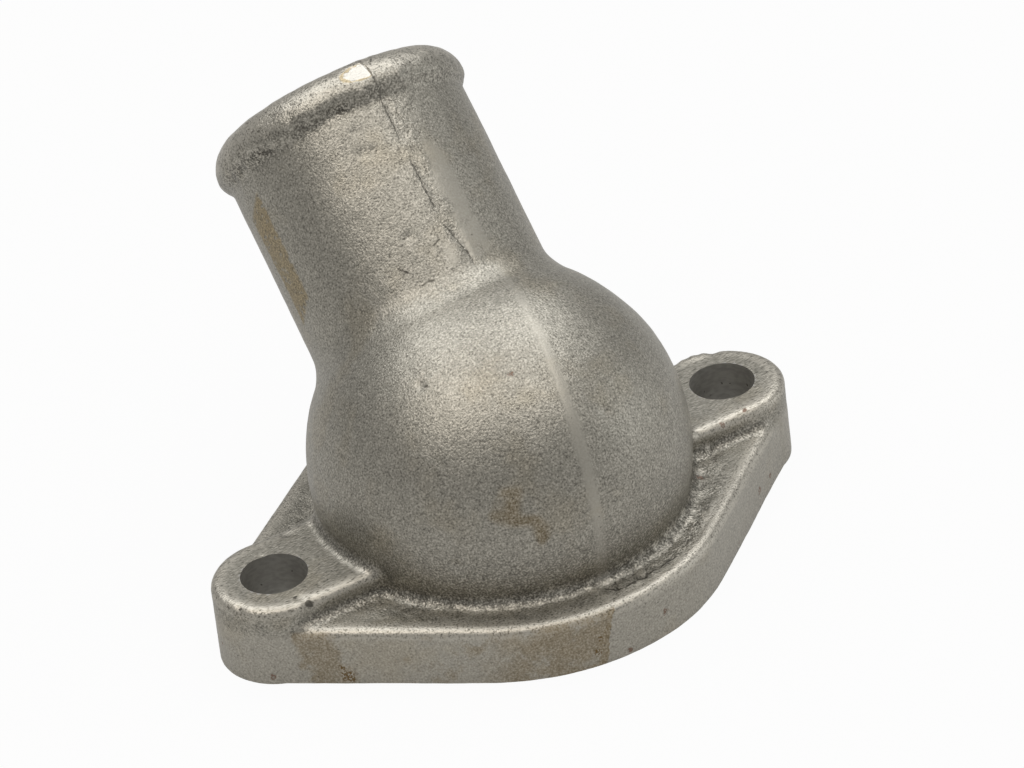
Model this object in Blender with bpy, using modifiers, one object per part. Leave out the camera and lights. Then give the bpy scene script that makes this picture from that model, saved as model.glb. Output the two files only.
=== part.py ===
"""Two-bolt thermostat housing, cast in iron as one piece.

A flat gasket flange carries a domed chamber. A hose neck leans out of the dome and ends
in a rolled bead. A raised bar runs from bolt to bolt across the flange. The gasket face
is machined flat, the bolt holes are drilled, and the chamber opens from the gasket face
through to the mouth of the neck.

The bolts lie along X, the neck leans towards +Y, and the gasket face is the plane Z = 0.
"""

import math

import bmesh
import bpy

MM = 0.001

# Flange
BOLT_SPACING = 82.5 * MM
BOLT_HOLE_DIAMETER = 10.6 * MM
BOLT_END_RADIUS = 10.25 * MM  # round end of the bolt bar, at the gasket face
PLATE_THICKNESS = 9.7 * MM
PLATE_PAST_DOME = 6.0 * MM  # plate edge to dome radius, on the centre line
BELLY_SHIFT = 2.4 * MM  # centre of each belly arc to the bolt line
BAR_RISE = 4.0 * MM  # bolt bar above the plate
BAR_PROUD = 0.2 * MM  # bar end beyond the plate's own round end
EDGE_RADIUS = 1.3 * MM
STEP_FILLET = 1.5 * MM
DRAFT = math.radians(1.0)

# Dome
DOME_RADIUS = 30.45 * MM
DOME_HEIGHT = 18.6 * MM  # centre of the dome above the gasket face
DOME_WALL = 5.0 * MM
FOOT_FILLET = 3.0 * MM
BAR_FILLET = 2.0 * MM

# Neck
NECK_TILT = math.radians(45)
NECK_RADIUS = 20.2 * MM
NECK_WALL = 4.4 * MM
NECK_LENGTH = 62.5 * MM  # centre of the dome to the neck's end
NECK_FILLET = 2.2 * MM
BEAD_HEIGHT = 1.3 * MM
BEAD_ROOT_RADIUS = 2.0 * MM
BEAD_SHOULDER_RADIUS = 3.0 * MM
MOUTH_RADIUS = 0.8 * MM  # rounded inner edge of the mouth
MOUTH_LEAD = math.radians(15)  # slope at which that rounding meets the neck's end

# Founding and machining
SEAM_SINK = 0.1 * MM  # how deep a fillet's ends sink into what they join
BURIED = 1.0 * MM  # depth of the hidden root of a fillet
RUN_OUT_MARGIN = 0.5 * MM  # how far inside an edge a fillet runs out
MACHINING_STOCK = 1.5 * MM  # metal taken off to make the gasket face
CUTTER_REACH = 8.0 * MM  # how far a cutter runs out past the metal

# Fineness of the facets
TURN_STEPS = 64
CORE_STEPS = 48
HOLE_STEPS = 32
WIDE_ARC_STEP = math.radians(6.0)
SMALL_ARC_STEP = math.radians(18.0)
NOSE_ARC_STEP = math.radians(11.25)
SHARP_ANGLE = math.radians(35)

IRON_COLOUR = (0.31, 0.30, 0.28, 1.0)
IRON_METALLIC = 0.75
IRON_ROUGHNESS = 0.48

# Sizes that follow from the ones above
BAR_HEIGHT = PLATE_THICKNESS + BAR_RISE
PLATE_HALF_DEPTH = DOME_RADIUS + PLATE_PAST_DOME
BELLY_RADIUS = PLATE_HALF_DEPTH - BELLY_SHIFT
CORE_RADIUS = DOME_RADIUS - DOME_WALL
BORE_RADIUS = NECK_RADIUS - NECK_WALL
BEAD_RADIUS = NECK_RADIUS + BEAD_HEIGHT
NOSE_RADIUS = BEAD_RADIUS - BORE_RADIUS - MOUTH_RADIUS
NOSE_CENTRE = (BEAD_RADIUS - NOSE_RADIUS, NECK_LENGTH - NOSE_RADIUS)
NECK_REACH = NOSE_CENTRE[1] * math.sin(NECK_TILT) + NOSE_CENTRE[0] * math.cos(NECK_TILT) + NOSE_RADIUS

# The origin is the middle of the whole depth, so the centre of the flange lies at a negative Y.
FLANGE_Y = (PLATE_HALF_DEPTH - NECK_REACH) / 2


def clear_scene():
    for obj in list(bpy.data.objects):
        bpy.data.objects.remove(obj, do_unlink=True)


def new_collection(name):
    collection = bpy.data.collections.new(name)
    bpy.context.scene.collection.children.link(collection)
    return collection


def cast_iron():
    material = bpy.data.materials.new("cast_iron")
    material.use_nodes = True
    shader = material.node_tree.nodes["Principled BSDF"]
    shader.inputs["Base Color"].default_value = IRON_COLOUR
    shader.inputs["Metallic"].default_value = IRON_METALLIC
    shader.inputs["Roughness"].default_value = IRON_ROUGHNESS
    return material


def placed(mesh_name, shape, collection, location=(0.0, 0.0, 0.0), lean=0.0):
    """An object made of a bmesh, leaning towards +Y by an angle, measured from the flange's centre."""
    mesh = bpy.data.meshes.new(mesh_name)
    shape.to_mesh(mesh)
    shape.free()
    mesh.shade_smooth()
    mesh.set_sharp_from_angle(angle=SHARP_ANGLE)
    obj = bpy.data.objects.new(mesh_name, mesh)
    obj.location = (location[0], location[1] + FLANGE_Y, location[2])
    obj.rotation_euler = (-lean, 0.0, 0.0)
    collection.objects.link(obj)
    return obj


def as_helper(obj):
    obj.hide_render = True
    obj.display_type = "WIRE"
    return obj


def arc(centre, radius, start, end, step):
    """Points of an arc about a centre, both ends included, no further apart than a step of angle."""
    count = max(1, math.ceil(abs(end - start) / step - 1e-6))
    angles = [start + (end - start) * i / count for i in range(count + 1)]
    return [(centre[0] + radius * math.cos(a), centre[1] + radius * math.sin(a)) for a in angles]


def draft_inset(height):
    """How far a drafted wall has drawn in at a height above the gasket face."""
    return height * math.tan(DRAFT)


def plate_outline(inset):
    """The plate's outline: two bolt ends and two belly arcs, joined by lines that touch both."""
    end_x = BOLT_SPACING / 2
    end_radius = BOLT_END_RADIUS - BAR_PROUD
    apart = math.hypot(end_x, BELLY_SHIFT)
    touch = math.acos((BELLY_RADIUS - end_radius) / apart) - math.atan2(BELLY_SHIFT, end_x)
    half_turn = math.pi
    small, large = end_radius - inset, BELLY_RADIUS - inset
    step = WIDE_ARC_STEP
    right = arc((end_x, 0.0), small, -touch, touch, step)
    back = arc((0.0, BELLY_SHIFT), large, touch, half_turn - touch, step)
    left = arc((-end_x, 0.0), small, half_turn - touch, half_turn + touch, step)
    front = arc((0.0, -BELLY_SHIFT), large, half_turn + touch, 2 * half_turn - touch, step)
    return right + back + left + front


def bar_outline(inset):
    """The bolt bar's outline: straight sides with a round end about each bolt."""
    end_x = BOLT_SPACING / 2
    radius = BOLT_END_RADIUS - inset
    quarter = math.pi / 2
    right = arc((end_x, 0.0), radius, -quarter, quarter, WIDE_ARC_STEP)
    left = arc((-end_x, 0.0), radius, quarter, 3 * quarter, WIDE_ARC_STEP)
    return right + left


def lofted(outline, levels):
    """A closed solid whose section at each (height, inset) level is the outline drawn in by the inset."""
    shape = bmesh.new()
    loops = [[shape.verts.new((x, y, z)) for x, y in outline(inset)] for z, inset in levels]
    for lower, upper in zip(loops, loops[1:]):
        for i in range(len(lower)):
            shape.faces.new((lower[i - 1], lower[i], upper[i], upper[i - 1]))
    shape.faces.new(reversed(loops[0]))
    shape.faces.new(loops[-1])
    return shape


def cast_wall_levels(bottom, top):
    """Levels of a drafted wall that ends in a rounded top edge."""
    shoulder = top - EDGE_RADIUS
    inset = draft_inset(shoulder)
    rounding = arc((inset + EDGE_RADIUS, shoulder), EDGE_RADIUS, math.pi, math.pi / 2, SMALL_ARC_STEP)
    return [(bottom, draft_inset(bottom))] + [(z, x) for x, z in rounding]


def turned(name, profile, steps, collection, location, lean=0.0):
    """A solid of revolution. The profile's (radius, height) points run down its outer side."""
    shape = bmesh.new()
    verts = [shape.verts.new((radius, 0.0, height)) for radius, height in profile]
    for first, second in zip(verts, verts[1:]):
        shape.edges.new((first, second))
    obj = placed(name, shape, collection, location, lean)
    screw = obj.modifiers.new("turn", "SCREW")
    screw.axis = "Z"
    screw.steps = steps
    screw.render_steps = steps
    screw.use_merge_vertices = True
    screw.merge_threshold = 0.01 * MM
    screw.use_smooth_shade = True
    return obj


def boolean(obj, operand, operation):
    modifier = obj.modifiers.new(operand.name, "BOOLEAN")
    modifier.operation = operation
    modifier.solver = "EXACT"
    modifier.object = operand


def make_plate(collection):
    levels = cast_wall_levels(-MACHINING_STOCK, PLATE_THICKNESS)
    return placed("housing", lofted(plate_outline, levels), collection)


def make_bolt_bar(collection):
    levels = cast_wall_levels(-2 * MACHINING_STOCK, BAR_HEIGHT)
    return placed("bolt_bar", lofted(bar_outline, levels), collection)


def run_out_levels(bottom, top):
    """Levels of the drafted boundary inside which a fillet runs out."""
    return [(z, draft_inset(z) + RUN_OUT_MARGIN) for z in (bottom, top)]


def make_step_fillet(collection):
    """The fillet along the foot of the bolt bar, kept within the plate's outline."""
    centre = (STEP_FILLET - SEAM_SINK, PLATE_THICKNESS + STEP_FILLET - SEAM_SINK)
    curve = arc(centre, STEP_FILLET, 1.5 * math.pi, math.pi, SMALL_ARC_STEP)
    curve.insert(0, (curve[0][0], PLATE_THICKNESS - BURIED))
    levels = [(z, draft_inset(z) - outset) for outset, z in curve]
    fillet = placed("step_fillet", lofted(bar_outline, levels), collection)

    limit_levels = run_out_levels(PLATE_THICKNESS - 2 * BURIED, BAR_HEIGHT + BURIED)
    limit = placed("step_fillet_limit", lofted(plate_outline, limit_levels), collection)
    boolean(fillet, as_helper(limit), "INTERSECT")
    return fillet


def foot_profile(floor, fillet):
    """Profile of the flare that joins the dome to a flat floor at a height."""
    centre_height = floor + fillet - SEAM_SINK
    drop = DOME_HEIGHT - centre_height
    centre_radius = math.sqrt((DOME_RADIUS + fillet - SEAM_SINK) ** 2 - drop**2)
    towards_dome = math.atan2(drop, -centre_radius) % (2 * math.pi)
    centre = (centre_radius, centre_height)
    curve = arc(centre, fillet, towards_dome, 1.5 * math.pi, SMALL_ARC_STEP)
    root = floor - BURIED
    return [(0.0, curve[0][1])] + curve + [(curve[-1][0], root), (0.0, root)]


def make_dome_foot(collection):
    profile = foot_profile(PLATE_THICKNESS, FOOT_FILLET)
    return turned("dome_foot", profile, TURN_STEPS, collection, (0.0, 0.0, 0.0))


def make_bar_fillet(collection):
    """The smaller flare where the dome meets the top of the bolt bar."""
    profile = foot_profile(BAR_HEIGHT, BAR_FILLET)
    flare = turned("bar_fillet", profile, TURN_STEPS, collection, (0.0, 0.0, 0.0))

    limit_levels = run_out_levels(BAR_HEIGHT - 2 * BURIED, BAR_HEIGHT + BAR_FILLET + BURIED)
    limit = placed("bar_fillet_limit", lofted(bar_outline, limit_levels), collection)
    boolean(flare, as_helper(limit), "INTERSECT")
    return flare


def make_dome_and_neck(collection):
    """The dome and neck, turned about the neck's axis, which passes through the dome's centre."""
    half_turn = math.pi
    fillet_radius = NECK_RADIUS + NECK_FILLET
    fillet_height = math.sqrt((DOME_RADIUS + NECK_FILLET) ** 2 - fillet_radius**2)
    rise = math.atan2(fillet_height, fillet_radius)
    blend = math.acos(1 - BEAD_HEIGHT / (BEAD_ROOT_RADIUS + BEAD_SHOULDER_RADIUS))
    shoulder_centre = (BEAD_RADIUS - BEAD_SHOULDER_RADIUS, NOSE_CENTRE[1])
    root_run = (BEAD_ROOT_RADIUS + BEAD_SHOULDER_RADIUS) * math.sin(blend)
    root_centre = (NECK_RADIUS + BEAD_ROOT_RADIUS, NOSE_CENTRE[1] - root_run)

    profile = [(0.0, NECK_LENGTH)]
    profile += arc(NOSE_CENTRE, NOSE_RADIUS, half_turn / 2, 0.0, NOSE_ARC_STEP)
    profile += arc(shoulder_centre, BEAD_SHOULDER_RADIUS, 0.0, -blend, SMALL_ARC_STEP)[1:]
    profile += arc(root_centre, BEAD_ROOT_RADIUS, half_turn - blend, half_turn, SMALL_ARC_STEP)[1:]
    profile += arc((fillet_radius, fillet_height), NECK_FILLET, half_turn, half_turn + rise, SMALL_ARC_STEP)
    profile += arc((0.0, 0.0), DOME_RADIUS, rise, -half_turn / 2, WIDE_ARC_STEP)[1:-1]
    profile.append((0.0, -DOME_RADIUS))
    return turned("dome_and_neck", profile, TURN_STEPS, collection, (0.0, 0.0, DOME_HEIGHT), NECK_TILT)


def make_chamber_core(collection):
    """The chamber: a round well from the gasket face under a dome of its own."""
    crown = arc((0.0, DOME_HEIGHT), CORE_RADIUS, math.pi / 2, 0.0, WIDE_ARC_STEP)[1:]
    floor = -MACHINING_STOCK - CUTTER_REACH
    profile = [(0.0, DOME_HEIGHT + CORE_RADIUS)] + crown + [(CORE_RADIUS, floor), (0.0, floor)]
    return turned("chamber_core", profile, CORE_STEPS, collection, (0.0, 0.0, 0.0))


def make_neck_core(collection):
    """The neck's bore, flared at the mouth to round the inner edge."""
    outside = NECK_LENGTH + CUTTER_REACH
    edge_centre = (BORE_RADIUS + MOUTH_RADIUS, NECK_LENGTH - MOUTH_RADIUS)
    flare = arc(edge_centre, MOUTH_RADIUS, math.pi / 2 + MOUTH_LEAD, math.pi, SMALL_ARC_STEP)
    reach = edge_centre[0] + MOUTH_RADIUS
    rim = flare[0][1] + (reach - flare[0][0]) * math.tan(MOUTH_LEAD)
    profile = [(0.0, outside), (reach, outside), (reach, rim)]
    profile += flare + [(BORE_RADIUS, 0.0), (0.0, 0.0)]
    return turned("neck_core", profile, CORE_STEPS, collection, (0.0, 0.0, DOME_HEIGHT), NECK_TILT)


def make_gasket_cutter(collection):
    """The block of metal and air below the gasket face."""
    width = BOLT_SPACING + 2 * BOLT_END_RADIUS + 2 * CUTTER_REACH
    depth = 2 * (PLATE_HALF_DEPTH + CUTTER_REACH)
    height = DOME_RADIUS + CUTTER_REACH
    shape = bmesh.new()
    bmesh.ops.create_cube(shape, size=1.0)
    bmesh.ops.scale(shape, vec=(width, depth, height), verts=shape.verts)
    return placed("gasket_cutter", shape, collection, (0.0, 0.0, -height / 2))


def make_bolt_drill(name, x, collection):
    height = BAR_HEIGHT + 2 * CUTTER_REACH
    radius = BOLT_HOLE_DIAMETER / 2
    shape = bmesh.new()
    bmesh.ops.create_cone(
        shape, cap_ends=True, segments=HOLE_STEPS, radius1=radius, radius2=radius, depth=height
    )
    return placed(name, shape, collection, (x, 0.0, BAR_HEIGHT / 2))


def main():
    clear_scene()
    castings = new_collection("thermostat_housing")
    patterns = new_collection("patterns")
    cutters = new_collection("cutters")

    housing = make_plate(castings)
    housing.data.materials.append(cast_iron())
    for make in (make_bolt_bar, make_step_fillet, make_dome_foot, make_bar_fillet, make_dome_and_neck):
        boolean(housing, as_helper(make(patterns)), "UNION")
    for make in (make_gasket_cutter, make_chamber_core, make_neck_core):
        boolean(housing, as_helper(make(cutters)), "DIFFERENCE")
    for name, x in (("left_drill", -BOLT_SPACING / 2), ("right_drill", BOLT_SPACING / 2)):
        boolean(housing, as_helper(make_bolt_drill(name, x, cutters)), "DIFFERENCE")


main()
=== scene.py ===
"""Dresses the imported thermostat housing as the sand-cast iron housing that it stands for."""

import math

import bpy
import numpy as np
from bpy.props import FloatProperty, FloatVectorProperty, PointerProperty
from mathutils import Matrix, Vector


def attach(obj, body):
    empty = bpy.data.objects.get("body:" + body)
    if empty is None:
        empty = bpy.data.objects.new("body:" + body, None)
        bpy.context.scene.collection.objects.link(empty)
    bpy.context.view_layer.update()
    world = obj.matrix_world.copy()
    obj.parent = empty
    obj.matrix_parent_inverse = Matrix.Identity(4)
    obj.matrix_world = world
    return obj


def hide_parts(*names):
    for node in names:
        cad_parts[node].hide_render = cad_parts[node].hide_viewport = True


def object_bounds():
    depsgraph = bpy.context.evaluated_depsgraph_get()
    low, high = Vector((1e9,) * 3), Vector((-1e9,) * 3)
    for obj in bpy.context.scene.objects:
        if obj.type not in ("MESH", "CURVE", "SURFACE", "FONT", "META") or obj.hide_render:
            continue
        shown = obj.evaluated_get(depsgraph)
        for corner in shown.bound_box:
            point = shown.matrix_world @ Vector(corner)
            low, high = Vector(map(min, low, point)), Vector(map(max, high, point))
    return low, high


bl_info = {
    "name": "Thermostat housing",
    "version": (1, 0, 0),
    "blender": (4, 5, 0),
    "location": "3D View > Sidebar > Housing",
    "description": "Builds a sand-cast thermostat housing and a plain studio around it",
    "category": "Object",
}

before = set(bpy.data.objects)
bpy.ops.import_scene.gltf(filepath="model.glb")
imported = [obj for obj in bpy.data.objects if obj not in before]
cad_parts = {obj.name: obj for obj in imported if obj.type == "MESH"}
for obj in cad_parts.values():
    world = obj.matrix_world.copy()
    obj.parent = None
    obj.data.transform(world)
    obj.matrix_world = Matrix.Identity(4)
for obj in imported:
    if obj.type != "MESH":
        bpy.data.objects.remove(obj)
SOLIDS_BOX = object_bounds()

MM = 0.001
HOUSING_NODE = "housing"


# Sizes and finishes that a user would change


def length(name, description, millimetres):
    """A length setting, given in millimetres and kept in metres."""
    return FloatProperty(
        name=name, description=description, default=millimetres * MM, unit="LENGTH", precision=5
    )


def colour(name, description, value):
    """A colour setting, of three linear values from nought to one."""
    return FloatVectorProperty(
        name=name, description=description, default=value, size=3, subtype="COLOR", min=0.0, max=1.0
    )


def factor(name, description, value):
    """A setting from nought to one."""
    return FloatProperty(
        name=name, description=description, default=value, min=0.0, max=1.0, subtype="FACTOR"
    )


class HOUSING_PG_sizes(bpy.types.PropertyGroup):
    """Sizes of the casting. They are its solid's, but for the tighter foot fillet and the rounding at the
    inner end of the bore, which the solid lacks."""

    bolt_spacing: length("Bolt spacing", "Between the centres of the two bolt holes", 82.5)
    hole_diameter: length("Bolt hole", "Diameter of each drilled hole", 10.6)
    bolt_end_radius: length("Bolt end radius", "Round end of the bolt bar, at the gasket face", 10.25)
    plate_thickness: length("Plate thickness", "Gasket face to the plate's top", 9.7)
    plate_past_dome: length("Plate past dome", "Plate edge to dome radius, on the centre line", 6.0)
    belly_shift: length("Belly shift", "Centre of each belly arc to the bolt line", 2.4)
    bar_rise: length("Bar rise", "Bolt bar above the plate", 4.0)
    bar_proud: length("Bar proud", "Bar end beyond the plate's round end", 0.2)
    edge_radius: length("Edge radius", "Rounding along the top edges of plate and bar", 1.4)
    step_fillet: length("Step fillet", "Fillet along the foot of the bolt bar", 1.5)
    dome_radius: length("Dome radius", "Outside of the dome", 30.45)
    dome_height: length("Dome height", "Centre of the dome above the gasket face", 18.6)
    dome_wall: length("Dome wall", "Thickness of the dome", 5.0)
    foot_fillet: length("Foot fillet", "Fillet from the dome to the plate, tighter than the solid's", 2.2)
    bar_fillet: length("Bar fillet", "Fillet from the dome to the bolt bar", 2.0)
    neck_radius: length("Neck radius", "Outside of the hose neck", 20.2)
    neck_wall: length("Neck wall", "Thickness of the neck", 4.4)
    neck_length: length("Neck length", "Centre of the dome to the neck's end", 62.5)
    neck_fillet: length("Neck fillet", "Fillet from the neck to the dome", 2.2)
    bead_height: length("Bead height", "Bead above the neck", 1.3)
    bead_root: length("Bead root", "Radius of the hollow below the bead", 2.0)
    bead_shoulder: length("Bead shoulder", "Radius of the bead's lower shoulder", 3.0)
    mouth_radius: length("Mouth radius", "Rounding of the mouth's inner edge", 0.8)
    bore_rounding: length("Bore rounding", "Rounding of the edge where the bore meets the chamber", 1.5)


class HOUSING_PG_finish(bpy.types.PropertyGroup):
    """Colours and surface of the casting."""

    iron: colour("Iron", "Blasted iron skin", (0.303, 0.289, 0.248))
    # Also the painted highlight on the rounded top edges and the painted light on the flange's side walls
    pale_iron_and_light: colour("Pale iron", "Tips of the grain and worn edges", (0.50, 0.472, 0.41))
    # Also the painted shade in the bead's root, in the fillets and on the lower part of the dome
    dark_iron_and_shade: colour("Dark iron", "Pits, creases and the hollows of the grain", (0.065, 0.06, 0.05))
    ground_iron: colour("Ground iron", "Bright metal of the ground and machined places", (0.56, 0.54, 0.49))
    ochre: colour("Ochre", "Painted stripe beside the neck", (0.295, 0.25, 0.165))
    rust: colour("Rust", "Brown stains", (0.225, 0.182, 0.112))
    old_rust: colour("Old rust", "Orange-brown spots in the stains", (0.15, 0.095, 0.035))
    red_rust: colour("Red rust", "Small red-brown specks", (0.16, 0.075, 0.042))
    film: colour("Film", "Grey film in the drilled holes", (0.40, 0.39, 0.36))
    iron_roughness: factor("Iron roughness", "Roughness of the skin", 0.44)
    iron_metal: factor("Iron metal", "How metallic the skin is", 0.85)
    pitch: length("Mesh pitch", "Spacing of the mesh over the skin", 0.56)
    swell: length("Swell", "Height of the long waves of the skin", 0.08)
    grain: length("Grain", "Height of the coarse sand marks of the skin", 0.05)
    fine_grain: length("Fine grain", "Height of the blasted grain of the skin", 0.06)


# Noise, worked out on whole arrays


def lattice_value(cells, seed):
    """A repeatable number from -1 to 1 for each whole-number cell, from a hash of its three coordinates."""
    across, deep, up = np.moveaxis(cells.astype(np.int64), -1, 0)
    word, half_word = 0xFFFFFFFF, 0xFFFF
    mixed = across * 374761393 + deep * 668265263 + up * 2147483647 + seed * 1274126177
    mixed = (mixed ^ (mixed >> 13)) & word
    mixed = (mixed * 1103515245 + 12345) & word
    mixed = ((mixed ^ (mixed >> 16)) * 2246822519) & word
    mixed = mixed ^ (mixed >> 13)
    return (mixed & half_word) / (half_word / 2) - 1.0


def value_noise(points, size, seed):
    """Smooth noise from -1 to 1: the values at the eight corners of each cell, joined by quintic weights."""
    scaled = points / size
    base = np.floor(scaled)
    part = scaled - base
    weight = part**3 * (part * (part * 6 - 15) + 10)
    total = 0.0
    for corner in np.ndindex(2, 2, 2):
        share = np.prod(np.where(corner, weight, 1 - weight), axis=-1)
        total = total + share * lattice_value(base + np.array(corner), seed)
    return total


def bell(value, middle, width):
    """One at the middle, falling to 1 / e at a width to each side: exp(-((value - middle) / width)^2)."""
    return np.exp(-(((value - middle) / width) ** 2))


# The shape, as one function of position in millimetres about the flange's centre


def smooth_step(value, low, high):
    """Nought below low, one above high, and a cubic between them."""
    part = np.clip((value - low) / (high - low), 0.0, 1.0)
    return part * part * (3 - 2 * part)


def rounded_cut(first, second, radius):
    """Both solids at once, with the edge between them rounded to the radius."""
    inside = np.minimum(np.maximum(first, second), -radius)
    return inside + np.hypot(np.maximum(first + radius, 0), np.maximum(second + radius, 0))


def filleted_union(first, second, radius):
    """Either solid, with a hollow fillet of the radius where they meet."""
    outside = np.maximum(radius, np.minimum(first, second))
    return outside - np.hypot(np.maximum(radius - first, 0), np.maximum(radius - second, 0))


class Shape:
    """The housing's distance functions, each negative inside what it describes."""

    DRAFT = math.radians(1.0)
    TILT = math.radians(45.0)
    RUN_OUT = 0.5
    ARC_POINTS = 60
    NOSE_POINTS = 80

    def __init__(self, sizes):
        for name in sizes.__annotations__:
            setattr(self, name, getattr(sizes, name) / MM)
        self.end_x = self.bolt_spacing / 2
        self.hole_radius = self.hole_diameter / 2
        self.bar_height = self.plate_thickness + self.bar_rise
        self.half_depth = self.dome_radius + self.plate_past_dome
        self.belly_radius = self.half_depth - self.belly_shift
        self.core_radius = self.dome_radius - self.dome_wall
        self.bore_radius = self.neck_radius - self.neck_wall
        self.bead_radius = self.neck_radius + self.bead_height
        self.nose_radius = self.bead_radius - self.bore_radius - self.mouth_radius
        self.nose_out = self.bead_radius - self.nose_radius
        self.nose_along = self.neck_length - self.nose_radius
        nose_y = self.nose_along * math.sin(self.TILT) + self.nose_out * math.cos(self.TILT)
        reach = nose_y + self.nose_radius
        self.centre_y = (self.half_depth - reach) / 2
        self.neck_curve = self.bead_curve()

    def bead_curve(self):
        """The neck's radius against the distance along it: the neck, the bead's hollow root, its shoulder
        and its round nose, each an arc that touches the next."""
        blend = math.acos(1 - self.bead_height / (self.bead_root + self.bead_shoulder))
        run = (self.bead_root + self.bead_shoulder) * math.sin(blend)
        root = np.linspace(0.0, blend, self.ARC_POINTS)
        shoulder = np.linspace(blend, 0.0, self.ARC_POINTS)
        nose = np.linspace(0.0, math.pi / 2, self.NOSE_POINTS)
        along = np.concatenate(
            [
                self.nose_along - run + self.bead_root * np.sin(root),
                self.nose_along - self.bead_shoulder * np.sin(shoulder),
                self.nose_along + self.nose_radius * np.sin(nose),
            ]
        )
        out = np.concatenate(
            [
                self.neck_radius + self.bead_root * (1 - np.cos(root)),
                self.bead_radius - self.bead_shoulder * (1 - np.cos(shoulder)),
                self.nose_out + self.nose_radius * np.cos(nose),
            ]
        )
        return along, out

    def plate_wall(self, x, y, z):
        """Distance from the plate's outline: bolt ends, belly arcs and the lines that touch both, drawn in
        with height by the draft."""
        end_radius = self.bolt_end_radius - self.bar_proud
        apart = math.hypot(self.end_x, self.belly_shift)
        lean = math.atan2(self.belly_shift, self.end_x)
        touch = math.acos((self.belly_radius - end_radius) / apart) - lean
        across, along = math.cos(touch), math.sin(touch)
        x, y = np.abs(x), np.abs(y)
        line = (x - self.end_x) * across + y * along - end_radius
        past_end = -(x - self.end_x) * along + y * across
        past_belly = -x * along + (y - self.belly_shift) * across
        belly = np.hypot(x, y - self.belly_shift) - self.belly_radius
        end = np.hypot(x - self.end_x, y) - end_radius
        flat = np.where(past_belly > 0, belly, np.where(past_end < 0, end, line))
        return (flat + z * math.tan(self.DRAFT)) * math.cos(self.DRAFT)

    def bar_wall(self, x, y, z):
        """Distance from the bolt bar's outline, a straight bar with round ends, drawn in by the draft."""
        flat = np.hypot(np.maximum(np.abs(x) - self.end_x, 0), y) - self.bolt_end_radius
        return (flat + z * math.tan(self.DRAFT)) * math.cos(self.DRAFT)

    def flange(self, x, y, z):
        """The plate and the bar, each with a rounded top edge, and the fillet along the bar's foot."""
        plate_wall, bar_wall = self.plate_wall(x, y, z), self.bar_wall(x, y, z)
        plate_top = z - self.plate_thickness
        plate = rounded_cut(plate_wall, plate_top, self.edge_radius)
        bar = rounded_cut(bar_wall, z - self.bar_height, self.edge_radius)
        reach = self.step_fillet
        fillet = reach - np.hypot(np.maximum(reach - bar_wall, 0), np.maximum(reach - plate_top, 0))
        fillet = np.maximum(fillet, np.maximum(bar_wall, plate_top) - reach)
        fillet = rounded_cut(fillet, plate_wall + self.RUN_OUT, self.RUN_OUT)
        return np.minimum(np.minimum(plate, bar), fillet)

    def neck_place(self, x, y, z):
        """Distance along the neck's axis from the dome's centre, and distance out from that axis."""
        lean_y, lean_z = math.sin(self.TILT), math.cos(self.TILT)
        rise = z - self.dome_height
        return y * lean_y + rise * lean_z, np.hypot(x, y * lean_z - rise * lean_y)

    def neck(self, x, y, z):
        """Distance from the neck's side, from its round nose, or from its flat end."""
        along, out = self.neck_place(x, y, z)
        curve_along, curve_out = self.neck_curve
        step = 0.05
        behind, radius, ahead = (
            np.interp(along + shift, curve_along, curve_out) for shift in (-step, 0.0, step)
        )
        side = (out - radius) / np.hypot(1.0, (ahead - behind) / (2 * step))
        nose = np.hypot(out - self.nose_out, along - self.nose_along) - self.nose_radius
        end = np.where(out > self.nose_out, nose, along - self.neck_length)
        return np.maximum(np.where(along > self.nose_along, end, side), -along)

    def dome(self, x, y, z, radius):
        """Distance from a ball about the dome's centre."""
        return np.sqrt(x * x + y * y + (z - self.dome_height) ** 2) - radius

    def casting(self, x, y, z):
        """Flange, dome and neck joined by their fillets, before any machining."""
        bulb = filleted_union(self.dome(x, y, z, self.dome_radius), self.neck(x, y, z), self.neck_fillet)
        height = np.clip((z - self.plate_thickness) / self.bar_rise, 0, 1)
        fillet = self.foot_fillet + (self.bar_fillet - self.foot_fillet) * height
        return filleted_union(self.flange(x, y, z), bulb, fillet)

    def cavity(self, x, y, z):
        """The chamber, a round well under a dome of its own, and the neck's bore."""
        well = np.hypot(x, y) - self.core_radius
        chamber = np.where(z > self.dome_height, self.dome(x, y, z, self.core_radius), well)
        along, out = self.neck_place(x, y, z)
        bore = np.where(along > 0, out - self.bore_radius, self.neck_length)
        return filleted_union(chamber, bore, self.bore_rounding)

    def reach(self, x, y, z):
        """Distance outside the box that the solid fills, which the skin may not leave."""
        low, high = ((np.array(corner) / MM - (0.0, self.centre_y, 0.0)) for corner in SOLIDS_BOX)
        sides = [np.maximum(low[axis] - value, value - high[axis]) for axis, value in ((0, x), (1, y))]
        return np.maximum(np.maximum(sides[0], sides[1]), z - high[2])

    def iron(self, x, y, z, relief=0.0):
        """The casting with its skin raised by the relief and kept within its box, less the cavity."""
        cavity = self.cavity(x, y, z)
        skin = np.maximum(self.casting(x, y, z) - relief, self.reach(x, y, z))
        return rounded_cut(skin, -cavity - relief, self.mouth_radius)

    def gasket_cut(self, x, y, z):
        """What the cut of the gasket face leaves, which is all above it."""
        return -z

    def drillings(self, x, y, z):
        """What the drill leaves, which is all outside the two bolt holes."""
        return self.hole_radius - np.hypot(np.abs(x) - self.end_x, y)


# The mesh over that shape


def values_and_slopes(function, points):
    """A function's value at each point, and its slope from its values a little way along each axis."""
    step = 0.02
    here = function(points)
    slopes = [(function(points + shift) - here) / step for shift in step * np.eye(3)]
    return here, np.stack(slopes, axis=1)


def mixed_signs(values):
    """True for each grid cell with both signs among its eight corners."""
    negative = values < 0
    a, b, c = np.array(negative.shape) - 1
    corners = [negative[i : a + i, j : b + j, k : c + k] for i, j, k in np.ndindex(2, 2, 2)]
    some = np.logical_or.reduce(corners)
    return some & ~np.logical_and.reduce(corners)


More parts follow.
